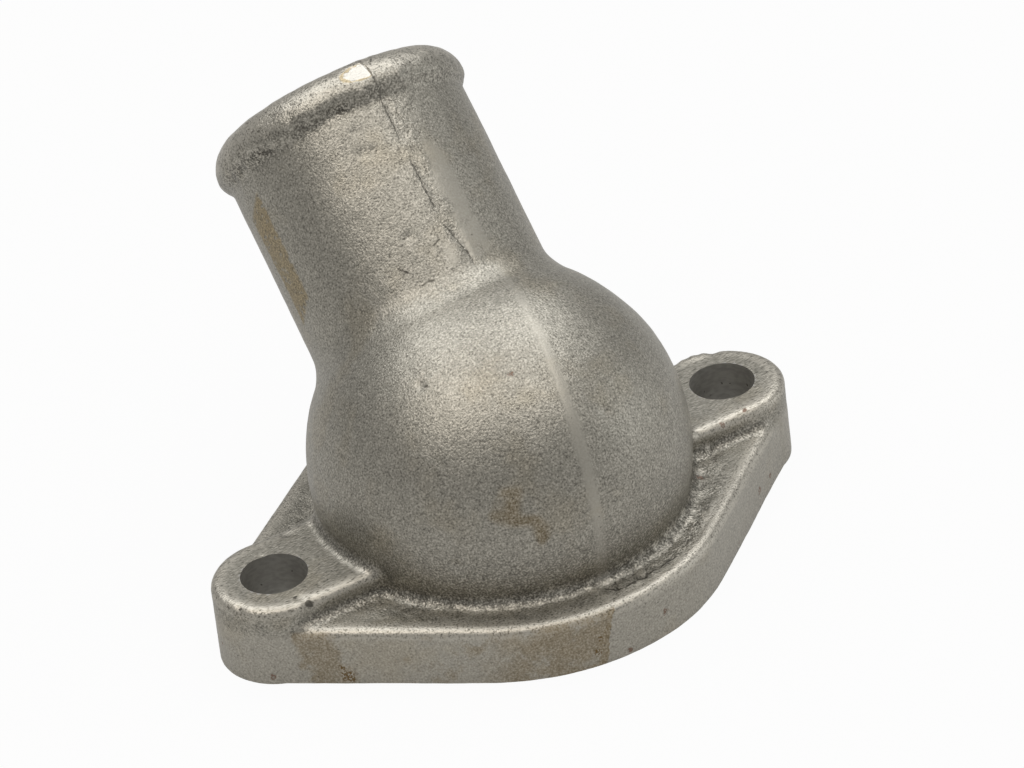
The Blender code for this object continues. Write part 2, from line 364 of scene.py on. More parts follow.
def crossed_quads(solid, numbers):
    """One quad of four cells round each grid edge that the surface crosses, wound to face outwards."""
    quads = []
    for axis in range(3):
        other = [(axis + 1) % 3, (axis + 2) % 3]
        low = np.moveaxis(solid, [axis] + other, [0, 1, 2])
        cell = np.moveaxis(numbers, [axis] + other, [0, 1, 2])
        crossed = (low[:-1] < 0) != (low[1:] < 0)
        i, j, k = np.nonzero(crossed[:, 1:-1, 1:-1])
        ring = np.stack([cell[i, j, k], cell[i, j + 1, k], cell[i, j + 1, k + 1], cell[i, j, k + 1]], axis=1)
        inward = low[1:][i, j + 1, k + 1] < 0
        ring[inward] = ring[inward, ::-1]
        quads.append(ring)
    return np.concatenate(quads)


def neighbour_mean(points, ends, chosen):
    """Mean of the neighbours of each point, over the pairs of ends that are chosen."""
    ends = ends[chosen]
    both = np.concatenate([ends, ends[:, ::-1]])
    count = np.bincount(both[:, 0], minlength=len(points))
    sums = [np.bincount(both[:, 0], points[both[:, 1], axis], minlength=len(points)) for axis in range(3)]
    mean = np.stack(sums, axis=1) / np.maximum(count, 1)[:, None]
    return np.where(count[:, None] > 1, mean, points)


class Skin:
    """A mesh of even quads over the shape, with true edges where a machined face cuts the casting."""

    MARGIN = 1.5
    ROUNDS = 4
    LAST_STEPS = 4
    # What a cell may hold: 0 the iron, 1 the gasket face, 2 a drilled hole, or the edge between two of them
    SURFACES_HELD = ((0,), (1,), (2,), (0, 1), (0, 2), (1, 2))

    def __init__(self, shape, relief, pitch):
        self.shape = shape
        self.relief = relief
        self.pitch = pitch
        self.cut_grid()
        for _ in range(self.ROUNDS):
            self.even_out()
            self.settle()
        for _ in range(self.LAST_STEPS):
            self.settle()

    def cut_grid(self):
        """Finds the cells of a grid that the surface passes through, with a point in the middle of each, the
        quads between them, and which of the three surfaces each cell holds."""
        shape, pitch = self.shape, self.pitch
        shift = np.array([0.0, shape.centre_y, 0.0])
        low, high = ((np.array(corner) / MM - shift) / pitch for corner in SOLIDS_BOX)
        spans = zip(np.floor(low) - self.MARGIN, np.ceil(high) + self.MARGIN)
        axes = [np.arange(start, stop + 1) * pitch for start, stop in spans]
        x, y, z = np.meshgrid(*axes, indexing="ij", sparse=True)
        iron = shape.iron(x, y, z)
        cut = shape.gasket_cut(x, y, z) + 0 * iron
        drilled = shape.drillings(x, y, z) + 0 * iron
        solid = np.maximum(np.maximum(iron, cut), drilled)
        active = mixed_signs(solid)
        numbers = np.full(active.shape, -1)
        cells = np.nonzero(active)
        numbers[active] = np.arange(len(cells[0]))
        self.points = np.stack([axis[index] + pitch / 2 for axis, index in zip(axes, cells)], axis=1)
        self.quads = crossed_quads(solid, numbers)
        self.holds = np.stack([mixed_signs(values)[cells] for values in (iron, cut, drilled)])

    def functions(self, points):
        """The three surfaces as functions of place, with the relief as it is at the given points."""
        shape, relief = self.shape, self.relief(points)
        return (
            lambda p: shape.iron(*p.T, relief),
            lambda p: shape.gasket_cut(*p.T),
            lambda p: shape.drillings(*p.T),
        )

    def even_out(self):
        """Moves each point halfway to the mean of its neighbours. On an edge, only those on the same edge
        count."""
        ends = np.concatenate([self.quads[:, [i, (i + 1) % 4]] for i in range(4)])
        ends = np.unique(np.sort(ends, axis=1), axis=0)
        on_edge = self.holds.sum(axis=0) > 1
        alike = (self.holds[:, ends[:, 0]] == self.holds[:, ends[:, 1]]).all(axis=0)
        flat = ~on_edge[ends].any(axis=1)
        touching = on_edge[ends].all(axis=1) & alike
        mean = np.where(
            on_edge[:, None],
            neighbour_mean(self.points, ends, touching),
            neighbour_mean(self.points, ends, flat | ~touching),
        )
        self.points += 0.5 * (mean - self.points)

    def settle(self):
        """Moves each point towards every surface that its cell holds, by one of Newton's steps: along one
        slope, or along two slopes together on an edge. No step is longer than the pitch."""
        for kinds in self.SURFACES_HELD:
            wanted = np.isin(np.arange(3), kinds)
            rows = np.nonzero((self.holds == wanted[:, None]).all(axis=0))[0]
            if len(rows) == 0:
                continue
            at = self.points[rows]
            functions = self.functions(at)
            pairs = [values_and_slopes(functions[kind], at) for kind in kinds]
            values, slopes = (np.stack(part, axis=1) for part in zip(*pairs))
            square = slopes @ slopes.transpose(0, 2, 1) + 1e-6 * np.eye(len(kinds))
            move = slopes.transpose(0, 2, 1) @ np.linalg.solve(square, values[..., None])
            size = np.linalg.norm(move, axis=1, keepdims=True)
            move = move * np.minimum(1.0, self.pitch / np.maximum(size, 1e-9))
            self.points[rows] = at - move[..., 0]


# What the mould, the grinder and the knocks left on the skin, in millimetres

# How far out from the neck's axis the marks on its outer skin set in
NECK_SKIN = (18.5, 19.5)
# Where the joint's line up the neck fades out, from the dome's centre
UPPER_GAP = 46.2
LOWER_GAP = 34.2

# Place about the flange's centre, radius and rise of each dent or lump
DENTS = (
    (-40.3, -9.9, 12.9, 1.0, -0.50),
    (-41.2, -8.2, 13.7, 0.7, -0.35),
    (-49.8, -4.5, 13.3, 0.8, -0.30),
    (-21.0, -22.2, 18.2, 0.9, -0.40),
    (32.4, -10.6, 10.1, 1.0, -0.35),
    (39.8, 9.3, 13.4, 0.9, 0.40),
    (41.6, 9.3, 13.5, 0.8, 0.45),
    (43.2, 8.6, 13.5, 0.7, 0.35),
    (45.0, 8.6, 13.4, 0.9, -0.30),
    (5.9, 25.5, 73.3, 1.1, -0.40),
    (4.6, 26.6, 73.9, 1.6, 0.30),
    (-5.0, 25.1, 72.8, 1.1, -0.40),
    (-8.3, 25.8, 71.7, 1.2, -0.50),
    (-6.7, 25.4, 72.3, 1.0, -0.45),
    (-12.5, 28.0, 70.2, 1.1, -0.35),
    (-6.7, 20.3, 66.0, 0.7, -0.30),
    (-4.9, 19.7, 66.2, 0.7, -0.30),
    (-6.0, 22.8, 68.7, 0.6, -0.25),
    (-5.9, 9.7, 55.7, 0.7, -0.30),
    (6.5, -24.4, 35.8, 0.8, -0.40),
    (-16.6, -9.2, 42.5, 0.7, -0.25),
    (-40.6, 5.0, 13.7, 0.6, -0.25),
    (-35.0, 8.6, 13.6, 0.9, -0.30),
    (22.0, 30.5, 5.5, 1.0, -0.35),
    (-14.0, 33.4, 9.0, 1.2, -0.40),
)


class Mould:
    """Marks of the casting's making, and masks of painted shade and highlight, at points in millimetres
    about the flange's centre.
    """

    SEAM_RISE = 0.06
    GROOVE_DEPTH = 0.16
    FLASH_RISE = 0.05
    CREASE_DEPTH = 0.18
    DENT_REACH = 2.5

    def __init__(self, shape, finish):
        self.shape = shape
        self.swell = finish.swell / MM
        self.grain = finish.grain / MM

    def lean(self, points):
        """Distance along the neck's axis, out from it, and whether the point is on the upper side."""
        x, y, z = points.T
        along, out = self.shape.neck_place(x, y, z)
        return along, out, y < z - self.shape.dome_height

    def dome_seam(self, points):
        """One along the smooth band that the mould's joint left on the dome. Its middle follows
        x = 0.0027 (along + 23)^2 - 0.2, and its edges wander."""
        x, y, z = points.T
        along, _, _ = self.lean(points)
        aside = np.abs(x - 0.0027 * (along + 23.0) ** 2 + 0.2)
        half = 0.9 + 0.25 * value_noise(points, 3.2, 5)
        band = 1 - smooth_step(aside, half - 0.25, half + 0.25)
        shell = np.abs(self.shape.dome(x, y, z, self.shape.dome_radius))
        return band * (1 - smooth_step(shell, 0.7, 2.0)) * (1 - smooth_step(along, 22.0, 26.0))

    def neck_seam(self, points):
        """One along the narrow groove of the joint up the neck, which fades out at the two gaps."""
        x, _, _ = points.T
        along, out, _ = self.lean(points)
        middle = 0.5 + 1.2 * smooth_step(-along, -35.0, -25.5)
        line = bell(x, middle, 0.5) * smooth_step(out, *NECK_SKIN) * smooth_step(along, 23.0, 26.0)
        gaps = bell(along, UPPER_GAP, 1.6) + bell(along, LOWER_GAP, 1.4)
        return line * np.clip(1 - gaps, 0, 1) * (0.8 + 0.5 * value_noise(points, 2.4, 6))

    def neck_flash(self, points):
        """One on the smooth patches beside the groove, wherever a slow noise is high."""
        x, _, _ = points.T
        along, out, upper = self.lean(points)
        near = 1.4 + 1.3 * smooth_step(along, 38.0, 48.0)
        strip = smooth_step(x, near, near + 0.5) * (1 - smooth_step(x, 5.2, 6.4))
        strip = strip * smooth_step(out, *NECK_SKIN)
        strip = np.maximum(strip, bell(x, -0.9, 0.9) * (1 - smooth_step(along, 28.5, 31.0)))
        length = smooth_step(along, 25.5, 27.0) * (1 - smooth_step(along, 50.0, 52.0))
        patches = smooth_step(value_noise(points, 5.0, 7) + 0.4 * value_noise(points, 2.0, 8), -0.15, 0.1)
        return strip * length * patches * upper

    def crease(self, points):
        """One in the root of the bead, more to the left of the seam than to its right."""
        x, _, _ = points.T
        along, out, upper = self.lean(points)
        root = bell(along, 55.6, 1.2) * smooth_step(out, *NECK_SKIN)
        root = root * np.clip(0.75 + 0.7 * value_noise(points, 2.1, 9), 0, 1.4)
        return root * (0.35 + 0.65 * (1 - smooth_step(x, -1.0, 3.0)) * upper)

    def facet(self, points):
        """Depth of the flat that a grinder left on the lip, up to the seam: the height of the round lip
        above a plane, which is depth - across^2 / 2R - up^2 / 2r."""
        shape = self.shape
        x, _, _ = points.T
        along, out, upper = self.lean(points)
        depth, across = 0.32, x + 1.5
        up = np.arctan2(along - shape.nose_along, out - shape.nose_out) * shape.nose_radius - 2.4
        rise = depth - across**2 / (2 * shape.bead_radius) - up**2 / (2 * shape.nose_radius)
        near = (along > shape.nose_along - 2.5) & (out > shape.nose_out) & upper
        return np.maximum(rise, 0) * (1 - smooth_step(x, -0.5, 0.1)) * near

    def edges(self, points):
        """One on the rounded top edges of the plate and the bar, and on the bead's crest."""
        x, y, z = points.T
        shape = self.shape
        along, out, _ = self.lean(points)
        found = []
        bar_wall = shape.bar_wall(x, y, z)
        for wall, top, clear in (
            (shape.plate_wall(x, y, z), z - shape.plate_thickness, smooth_step(bar_wall, 0.5, 1.5)),
            (bar_wall, z - shape.bar_height, 1.0),
        ):
            band = smooth_step(wall + 1.7 * top, -3.1, -2.0)
            found.append(band * (1 - smooth_step(np.maximum(wall, top), 0.25, 0.7)) * clear)
        crest = smooth_step(along, shape.nose_along - 0.5, shape.nose_along + 2.5)
        crest = crest * smooth_step(out, 16.0, 17.5)
        return np.maximum(np.maximum(*found), crest)

    def coarse(self, points):
        """One where the sand was loose: on the shelf beside the bar, in the fillets and along the edges."""
        x, y, z = points.T
        shape = self.shape
        along, out, upper = self.lean(points)
        plate_wall, bar_wall = shape.plate_wall(x, y, z), shape.bar_wall(x, y, z)
        foot = 1 - smooth_step(shape.dome(x, y, z, shape.dome_radius), 4.0, 7.0)
        shelf = 1 - smooth_step(np.abs(z - shape.plate_thickness), 1.2, 3.0)
        shelf = shelf * smooth_step(-plate_wall, -0.5, 1.5) * smooth_step(bar_wall, -1.0, 0.5)
        shelf = shelf * foot * (0.55 + 0.45 * smooth_step(x, -10.0, 10.0))
        bead = smooth_step(along, 54.0, 56.0) * smooth_step(out, 16.5, 18.0)
        beside = bell(x, 1.0, 3.5) * smooth_step(out, *NECK_SKIN) * upper * smooth_step(along, 24.0, 27.0)
        found = [shelf * (1 - self.edges(points)), 0.45 * bead, 0.5 * beside]
        return np.clip(np.maximum.reduce(found), 0, 1)

    def painted_hollow_shade(self, points):
        """Painted shade: one in the fillets at the foot of the dome and of the bar. It fades out up the
        lower part of the dome."""
        x, y, z = points.T
        shape = self.shape
        along, _, _ = self.lean(points)
        plain = np.minimum(shape.flange(x, y, z), shape.dome(x, y, z, shape.dome_radius))
        foot = smooth_step(plain - shape.casting(x, y, z), 0.05, 0.5) * (1 - smooth_step(along, 10.0, 16.0))
        bar_wall, top = shape.bar_wall(x, y, z), z - shape.plate_thickness
        step = 1 - smooth_step(np.maximum(bar_wall, top), 0.8, 2.2)
        step = step * smooth_step(np.minimum(bar_wall, top), -0.4, 0.1)
        step = step * smooth_step(-shape.plate_wall(x, y, z), 0.5, 2.0)
        shell = 1 - smooth_step(np.abs(shape.dome(x, y, z, shape.dome_radius)), 0.6, 1.2)
        shade = 0.8 * shell * (1 - smooth_step(top, 1.0, 15.0))
        return np.maximum.reduce([foot, step, shade])

    def smooth(self, points):
        """One where the skin has no grain: on the seam's band, less near the neck, on the patches beside it
        and on the ground flat."""
        along, _, _ = self.lean(points)
        seam = self.dome_seam(points) * (0.85 - 0.45 * smooth_step(along, 5.0, 15.0))
        ground = smooth_step(self.facet(points), 0.01, 0.05)
        return np.maximum.reduce([seam, 0.8 * self.neck_flash(points), ground])

    def relief(self, points):
        """Height by which the skin stands proud of its drawing: swells, sand marks, seams, crease, flat and
        dents, added together. Each dent or lump is h exp(-(distance / r)^2)."""
        waves = value_noise(points, 14.0, 1) + 0.6 * value_noise(points, 6.5, 2)
        marks = value_noise(points, 2.3, 3) + 0.8 * value_noise(points, 1.25, 4)
        smooth, crease = self.smooth(points), self.crease(points)
        rough = (0.5 + 1.5 * self.coarse(points) + 2.5 * crease) * (1 - smooth)
        height = self.swell * (waves - 0.5) + self.grain * (marks - 0.5) * rough
        height += (
            self.SEAM_RISE * self.dome_seam(points)
            - self.GROOVE_DEPTH * self.neck_seam(points)
            + self.FLASH_RISE * self.neck_flash(points)
        )
        height -= self.CREASE_DEPTH * crease + self.facet(points)
        for x, y, z, radius, rise in DENTS:
            near = np.nonzero(np.abs(points[:, 0] - x) < self.DENT_REACH * radius)[0]
            apart = ((points[near] - (x, y, z)) ** 2).sum(axis=1)
            height[near] += rise * np.exp(-apart / radius**2)
        return height

    def masks(self, points):
        """The masks that the skin's material reads, by name."""
        return {
            # Partly wear, partly a painted highlight on the rounded top edges and the bead's crest
            "worn_and_highlit": self.edges(points),
            "coarse": self.coarse(points),
            "smooth": self.smooth(points),
            "ground": smooth_step(self.facet(points), 0.0, 0.2),
            # Painted shade in the root of the bead
            "crease_shade": self.crease(points),
            # Painted shade in the fillets at the foot of the dome and the bar, and on the lower dome
            "hollow_shade": self.painted_hollow_shade(points),
        }


# Shader nodes, written as expressions


class Wire:
    """A node's output. Arithmetic on it adds Math nodes to its board."""

    def __init__(self, board, socket):
        self.board = board
        self.socket = socket

    def math(self, operation, *values):
        """The result of a Math node on these values."""
        return self.board.node("ShaderNodeMath", {"operation": operation}, dict(enumerate(values)))

    def __add__(self, other):
        return self.math("ADD", self, other)

    __radd__ = __add__

    def __sub__(self, other):
        return self.math("SUBTRACT", self, other)

    def __rsub__(self, other):
        return self.math("SUBTRACT", other, self)

    def __mul__(self, other):
        return self.math("MULTIPLY", self, other)

    __rmul__ = __mul__

    def __abs__(self):
        return self.math("ABSOLUTE", self)

    def most(self, other):
        """The larger of two values."""
        return self.math("MAXIMUM", self, other)

    def held(self):
        """The value, kept from nought to one."""
        return self.board.node("ShaderNodeClamp", inputs={"Value": self})

    def between(self, low, high):
        """Nought at low, one at high, with soft ends. Low may be the higher number."""
        return self.board.node(
            "ShaderNodeMapRange",
            {"interpolation_type": "SMOOTHSTEP"},
            {"Value": self, "From Min": low, "From Max": high},
        )


class Board:
    """The nodes of one material, lamp or world."""

    def __init__(self, tree):
        self.tree = tree
        tree.nodes.clear()

    def node(self, kind, settings=None, inputs=None, output=0):
        """Adds a node, sets its settings first and then the values or links of its inputs."""
        made = self.tree.nodes.new(kind)
        for name, value in (settings or {}).items():
            setattr(made, name, value)
        for name, value in (inputs or {}).items():
            if isinstance(value, Wire):
                self.tree.links.new(value.socket, made.inputs[name])
            else:
                made.inputs[name].default_value = value
        return Wire(self, made.outputs[output]) if made.outputs else None

    def vectors(self, operation, *values, output=0):
        """The result of a Vector Math node on these vectors."""
        return self.node("ShaderNodeVectorMath", {"operation": operation}, dict(enumerate(values)), output)

    def distance(self, place, other):
        """How far one place is from another."""
        return self.vectors("DISTANCE", place, other, output="Value")

    def blend(self, share, first, second, kind="MIX"):
        """The second colour over the first, by a share from nought to one."""
        settings = {"data_type": "RGBA", "blend_type": kind}
        factor_input, first_input, second_input, result = 0, 6, 7, 2
        colours = {first_input: solid_colour(first), second_input: solid_colour(second)}
        return self.node("ShaderNodeMix", settings, {factor_input: share, **colours}, result)

    def tint(self, share, colour, stain, under):
        """A stain that lets the grain show: the colour times what turns the one under it into the stain."""
        ratio = tuple(min(1.0, over / below) for over, below in zip(stain, under))
        return self.blend(share, colour, ratio, "MULTIPLY")

    def place(self, middle_y):
        """Millimetres about the flange's centre, from Object coordinates in metres."""
        metres = self.node("ShaderNodeTexCoord", output="Object")
        mapping = {"Vector": metres, "Location": (0, -middle_y, 0), "Scale": (1 / MM,) * 3}
        return self.node("ShaderNodeMapping", inputs=mapping)

    def split(self, vector):
        """The three parts of a vector: the x, y and z of a place."""
        parts = self.node("ShaderNodeSeparateXYZ", inputs={"Vector": vector})
        return [Wire(self, output) for output in parts.socket.node.outputs]

    def mask(self, name):
        """A mask that the mesh carries on its points."""
        return self.node("ShaderNodeAttribute", {"attribute_name": name}, output="Fac")

    def noise(self, place, size, detail=2.0, roughness=0.5, output=0):
        """Noise from nought to one whose lumps are about a size apart."""
        return self.node(
            "ShaderNodeTexNoise",
            inputs={"Vector": place, "Scale": 1 / size, "Detail": detail, "Roughness": roughness},
            output=output,
        )

    def shaken(self, place, size, reach):
        """A place moved about by a noise, mostly by less than the reach."""
        colour = self.noise(place, size, 0.0, output="Color")
        centred = self.vectors("SUBTRACT", colour, (0.5, 0.5, 0.5))
        return self.vectors("MULTIPLY_ADD", centred, (4 * reach,) * 3, place)

    def dots(self, place, spacing, radius, share):
        """Round dots of a radius, one in each cell of a spacing, in a share of the cells."""
        cells = self.node("ShaderNodeTexVoronoi", inputs={"Vector": place, "Scale": 1 / spacing})
        hue = Wire(self, cells.socket.node.outputs["Color"])
        chosen = self.split(hue)[0].between(share + 0.001, share)
        return (cells * spacing).between(radius, radius * 0.5) * chosen

    def spots(self, place, spots):
        """One inside any of the spots, each a place and a radius."""
        return self.largest(
            [self.distance(place, middle).between(radius, radius * 0.7) for *middle, radius in spots]
        )

    def cracks(self, place, lines, width):
        """One on any of the lines from point to point: the distance to the nearest point of each piece."""
        found = []
        for line in lines:
            for start, end in zip(line, line[1:]):
                run = np.subtract(end, start)
                offset = self.vectors("SUBTRACT", place, start)
                part = self.vectors("DOT_PRODUCT", offset, tuple(run / run.dot(run)), output="Value").held()
                scale = {"operation": "SCALE"}
                foot = self.node("ShaderNodeVectorMath", scale, {0: tuple(run), "Scale": part})
                found.append(self.distance(offset, foot).between(width, width * 0.3))
        return self.largest(found)

    def largest(self, found):
        """The largest of the values."""
        total = found[0]
        for value in found[1:]:
            total = total.most(value)
        return total


def solid_colour(value):
    """A colour as a socket takes it: a link as it is, and three numbers with a full alpha."""
    return value if isinstance(value, Wire) else (*value, 1.0)


def new_material(name):
    """An empty material and its board."""
    material = bpy.data.materials.new(name)
    material.use_nodes = True
    return material, Board(material.node_tree)


def finish_surface(board, inputs, height):
    """A metal surface whose height in millimetres goes into the Bump node."""
    inputs["Normal"] = board.node("ShaderNodeBump", inputs={"Height": height, "Distance": MM})
    shader = board.node("ShaderNodeBsdfPrincipled", inputs=inputs)
    board.node("ShaderNodeOutputMaterial", inputs={"Surface": shader})


# Short cracks, each a line from point to point
CRACKS = (
    ((1.2, -30.1, 10.6), (0.9, -31.0, 9.9), (0.6, -32.8, 9.7)),
    ((-0.8, -31.5, 9.8), (0.6, -32.8, 9.7), (1.6, -32.6, 9.7), (3.9, -32.8, 9.7)),
    ((3.9, -32.8, 9.7), (6.2, -32.3, 9.7), (12.1, -31.1, 9.7)),
    ((-6.8, 20.3, 66.0), (-5.6, 19.9, 66.0), (-4.6, 19.7, 66.2)),
    ((-6.0, 7.1, 53.0), (-4.0, 7.0, 53.8), (-1.8, 7.4, 54.5)),
    ((-9.2, 7.9, 52.0), (-7.6, 6.4, 51.5)),
    ((-7.3, 4.7, 50.0), (-4.9, 4.1, 50.5)),
    ((-6.6, 10.1, 55.4), (-5.3, 9.4, 55.9)),
)
# Place and radius of each pit, red speck and spot of old rust
PITS = (
    (-6.0, 22.8, 68.7, 0.30),
    (-5.3, 21.4, 67.6, 0.26),
    (-4.2, 20.3, 67.0, 0.24),
    (-16.4, -8.8, 42.8, 0.26),
    (-16.0, -9.9, 42.6, 0.34),
    (-17.4, -9.4, 41.9, 0.26),
    (6.5, -24.4, 35.8, 0.32),
    (-40.3, -9.9, 12.9, 0.80),
    (-49.8, -4.5, 13.3, 0.60),
    (-21.0, -22.2, 18.2, 0.45),
    (32.4, -10.6, 10.1, 0.60),
    (5.9, 25.5, 73.3, 0.45),
    (-41.6, -7.6, 13.6, 0.45),
    (-47.0, -7.2, 12.9, 0.35),
    (-44.6, -8.6, 12.8, 0.30),
    (-36.0, -10.9, 11.6, 0.35),
)
RED_SPECKS = (
    (39.4, -9.2, 13.6, 0.6),
    (35.0, -9.8, 13.2, 0.6),
    (26.8, -15.5, 10.0, 0.7),
    (40.9, -13.1, 2.5, 0.6),
    (36.9, -16.3, 3.0, 0.7),
    (-47.7, -7.9, 1.4, 0.7),
    (-51.4, 0.7, 4.6, 0.5),
    (-0.5, -36.4, 0.9, 0.6),
    (6.7, -35.7, 4.2, 0.6),
    (-4.7, -16.9, 43.5, 0.5),
    (11.0, -34.0, 3.4, 0.6),
)
RUST_SPOTS = (
    (-38.2, -15.3, 1.4, 1.2),
    (-38.9, -14.8, 2.9, 0.6),
    (-5.6, -36.0, 2.4, 0.8),
    (-5.0, -36.1, 5.0, 0.6),
)
# The middle line of the brown stain on the dome
DOME_STAIN = ((-12.4, -26.0, 29.0), (-10.6, -27.8, 24.8), (-8.8, -28.8, 22.0))

# Sizes of the grain and the marks, and heights of their bumps, in millimetres
SAND_SIZE = 0.31
LUMP_SIZE = 1.15
PATCH_SIZE = 11.0
CRACK_WIDTH = 0.32
STAIN_WIDTH = 2.6
GROOVE_BUMP = 0.14
SCRATCH_BUMP = 0.03


def neck_lines(shape, x, y, z, wander):
    """The thin line of the mould's joint up the neck and over the lip, which fades out at the gaps and under
    the bead, and the ochre stripe on the neck's left side, whose edges wander."""
    lean_y, lean_z = math.sin(shape.TILT), math.cos(shape.TILT)
    along = y * lean_y + z * lean_z - shape.dome_height * lean_z
    depth = y * lean_z - z * lean_y + shape.dome_height * lean_y
    middle = along.between(35.0, 25.5) * 1.9 - 0.15
    line = abs(x - middle + wander).between(0.2, 0.05) * along.between(24.5, 26.0)
    line = line * abs(depth).between(17.0, 18.0)
    for gap, low, high in ((UPPER_GAP, 1.5, 3.0), (LOWER_GAP, 1.0, 2.2), (55.9, 0.3, 0.7)):
        line = line * abs(along - gap).between(low, high)
    broken = abs(wander).between(0.0, 0.03).most(along.between(35.0, 37.0))
    slant = along + depth * 0.5 + wander * 2.0
    across = depth + wander * 2.5
    stripe = slant.between(30.0, 30.9) * slant.between(49.4, 48.4)
    stripe = stripe * across.between(-5.4, -4.7) * across.between(0.8, 0.1)
    return line * broken * 0.65, stripe * x.between(-16.2, -17.0)


def flange_stains(board, x, y, z, shaken):
    """Brown stains down the front of the flange, broken up by noise: a wide one with a sharp, darker right
    end, one at the left and a faint one between them."""
    wall = z.between(9.6, 8.9) * y.between(-6.0, -10.0) * (x * x + y * y).between(670.0, 730.0)
    cloud = board.noise(shaken, 5.0, 4.0, 0.6)
    edge = board.split(shaken)[0] + (cloud - 0.5) * 5.0 - z * 0.35
    middle = edge.between(-25.0, -16.0) * edge.between(-4.9, -5.2) * cloud.between(0.30, 0.52)
    rim = edge.between(-7.2, -5.8) * edge.between(-4.9, -5.2)
    slant = x + (cloud - 0.5) * 8.0 + z * 0.15
    left = slant.between(-43.6, -42.2) * slant.between(-36.5, -38.5) * cloud.between(0.30, 0.50)
    between = x.between(-36.0, -30.0) * x.between(-14.0, -22.0) * cloud.between(0.50, 0.68)
    return wall * (middle * 0.75).most(rim * 0.95).most(left * 0.7).most(between * 0.55)


def cast_skin(finish, shape):
    """The blasted skin: pale tips and dark bottoms of the grain, the joint's line, cracks, pits, pinholes,
    rubbed edges with a painted highlight, painted shade in the bead's root, the fillets and the lower dome,
    side walls made paler as painted light, stains and specks of rust."""
    material, board = new_material("cast_skin")
    place = board.place(shape.centre_y)
    x, y, z = board.split(place)
    worn_and_highlit, coarse, smooth = board.mask("worn_and_highlit"), board.mask("coarse"), board.mask("smooth")
    ground, crease_shade, hollow_shade = board.mask("ground"), board.mask("crease_shade"), board.mask("hollow_shade")
    shaken = board.shaken(place, 1.3, 0.25)

    # The grain, which the top of the bolt bar has drawn out along the bar
    brushed = abs(z - shape.bar_height).between(0.6, 0.3) * abs(y).between(11.0, 9.0)
    drawn = board.noise(board.vectors("MULTIPLY", place, (0.4, 1.3, 1.0)), SAND_SIZE, 1.0)
    sand = board.noise(place, SAND_SIZE, 1.0)
    fine = sand + (drawn - sand) * brushed
    lumps = board.noise(place, LUMP_SIZE, 1.0, 0.6)
    patches = board.noise(place, PATCH_SIZE, 3.0, 0.55)

    # The marks
    line, stripe = neck_lines(shape, x, y, z, (lumps - 0.5) * 0.5)
    cracks = board.cracks(shaken, CRACKS, CRACK_WIDTH)
    pits = board.spots(shaken, PITS)
    pinholes = board.dots(shaken, 1.7, 0.19, 0.3)
    specks = board.spots(shaken, RED_SPECKS) * fine.between(0.42, 0.5)
    dust = board.dots(shaken, 5.5, 0.45, 0.16) * z.between(16.0, 10.0)
    old_rust = board.spots(shaken, RUST_SPOTS)
    stain = board.cracks(board.shaken(place, 4.0, 1.6), (DOME_STAIN,), STAIN_WIDTH)
    stain = stain * patches.between(0.25, 0.45)
    brown = flange_stains(board, x, y, z, shaken).most(stain * 0.85)
    left_of_seam = x.between(0.0, -0.25)
    bright = (ground + (lumps - 0.5) * 1.2 + x * 0.08).between(0.2, 0.45)
    bright = bright * ground.between(0.05, 0.2) * left_of_seam

    # The colour, from the iron up
    dull = 1 - smooth * 0.85
    tone = fine + (lumps - 0.5) * (0.15 + coarse * 0.5)
    tips = tone.between(0.50, 0.70) * dull * (0.74 + coarse * 0.26)
    bottoms = tone.between(0.47, 0.27) * dull * (0.58 + coarse * 0.17)
    # The seam's smooth band is pale skin; everything below the plate's top edge, the flange's side walls, is
    # made paler as painted light
    pale_seam_and_lit_walls = (smooth * 0.42).most(z.between(9.4, 8.4) * 0.3)
    colour = board.blend(tips, finish.iron, finish.pale_iron_and_light)
    colour = board.blend(bottoms, colour, finish.dark_iron_and_shade)
    colour = board.blend(pale_seam_and_lit_walls, colour, finish.pale_iron_and_light)
    colour = board.tint(patches.between(0.48, 0.3) * 0.22, colour, finish.ochre, finish.iron)
    # Rubbed top edges and bead crest made paler: partly wear, partly a painted highlight along the rounded
    # edges
    colour = board.blend(worn_and_highlit * tone.between(0.25, 0.6) * 0.9, colour, finish.pale_iron_and_light)
    # Painted shade in the root of the bead
    colour = board.blend(crease_shade * tone.between(0.62, 0.40) * 0.75, colour, finish.dark_iron_and_shade)
    # Painted shade in the fillets at the foot of the dome and the bar, and on the lower part of the dome
    colour = board.blend(hollow_shade * tone.between(0.75, 0.35) * 0.6, colour, finish.dark_iron_and_shade)
    colour = board.tint(stripe * lumps.between(0.2, 0.45), colour, finish.ochre, finish.iron)
    colour = board.tint(brown * (tone.between(0.65, 0.40) * 0.5 + 0.5), colour, finish.rust, finish.iron)
    colour = board.blend(specks.most(dust * 0.7) * 0.75, colour, finish.red_rust)
    colour = board.blend(old_rust * tone.between(0.62, 0.45) * 0.9, colour, finish.old_rust)
    deep = pits.most(cracks).most(line).most(pinholes * 0.8)
    colour = board.blend(deep * 0.85, colour, finish.dark_iron_and_shade)
    colour = board.tint(ground.between(0.02, 0.3) * left_of_seam, colour, finish.ochre, finish.iron)
    colour = board.blend(bright, colour, finish.ground_iron)

    # The fine relief
    covered = brown.most(stripe).most(specks)
    scratches = board.noise(board.vectors("MULTIPLY", place, (0.15, 3.0, 3.0)), 1.0, 1.0)
    height = fine * (finish.fine_grain / MM * (1 + coarse * 0.8)) * dull
    height = height + lumps * (0.05 + coarse * 0.12) * dull
    height = height - line * GROOVE_BUMP + scratches * bright * SCRATCH_BUMP
    inputs = {
        "Base Color": colour,
        "Metallic": finish.iron_metal - covered * 0.25,
        "Roughness": patches * 0.1 + (finish.iron_roughness - 0.05) + covered * 0.2 - bright * 0.05,
    }
    finish_surface(board, inputs, height)
    return material


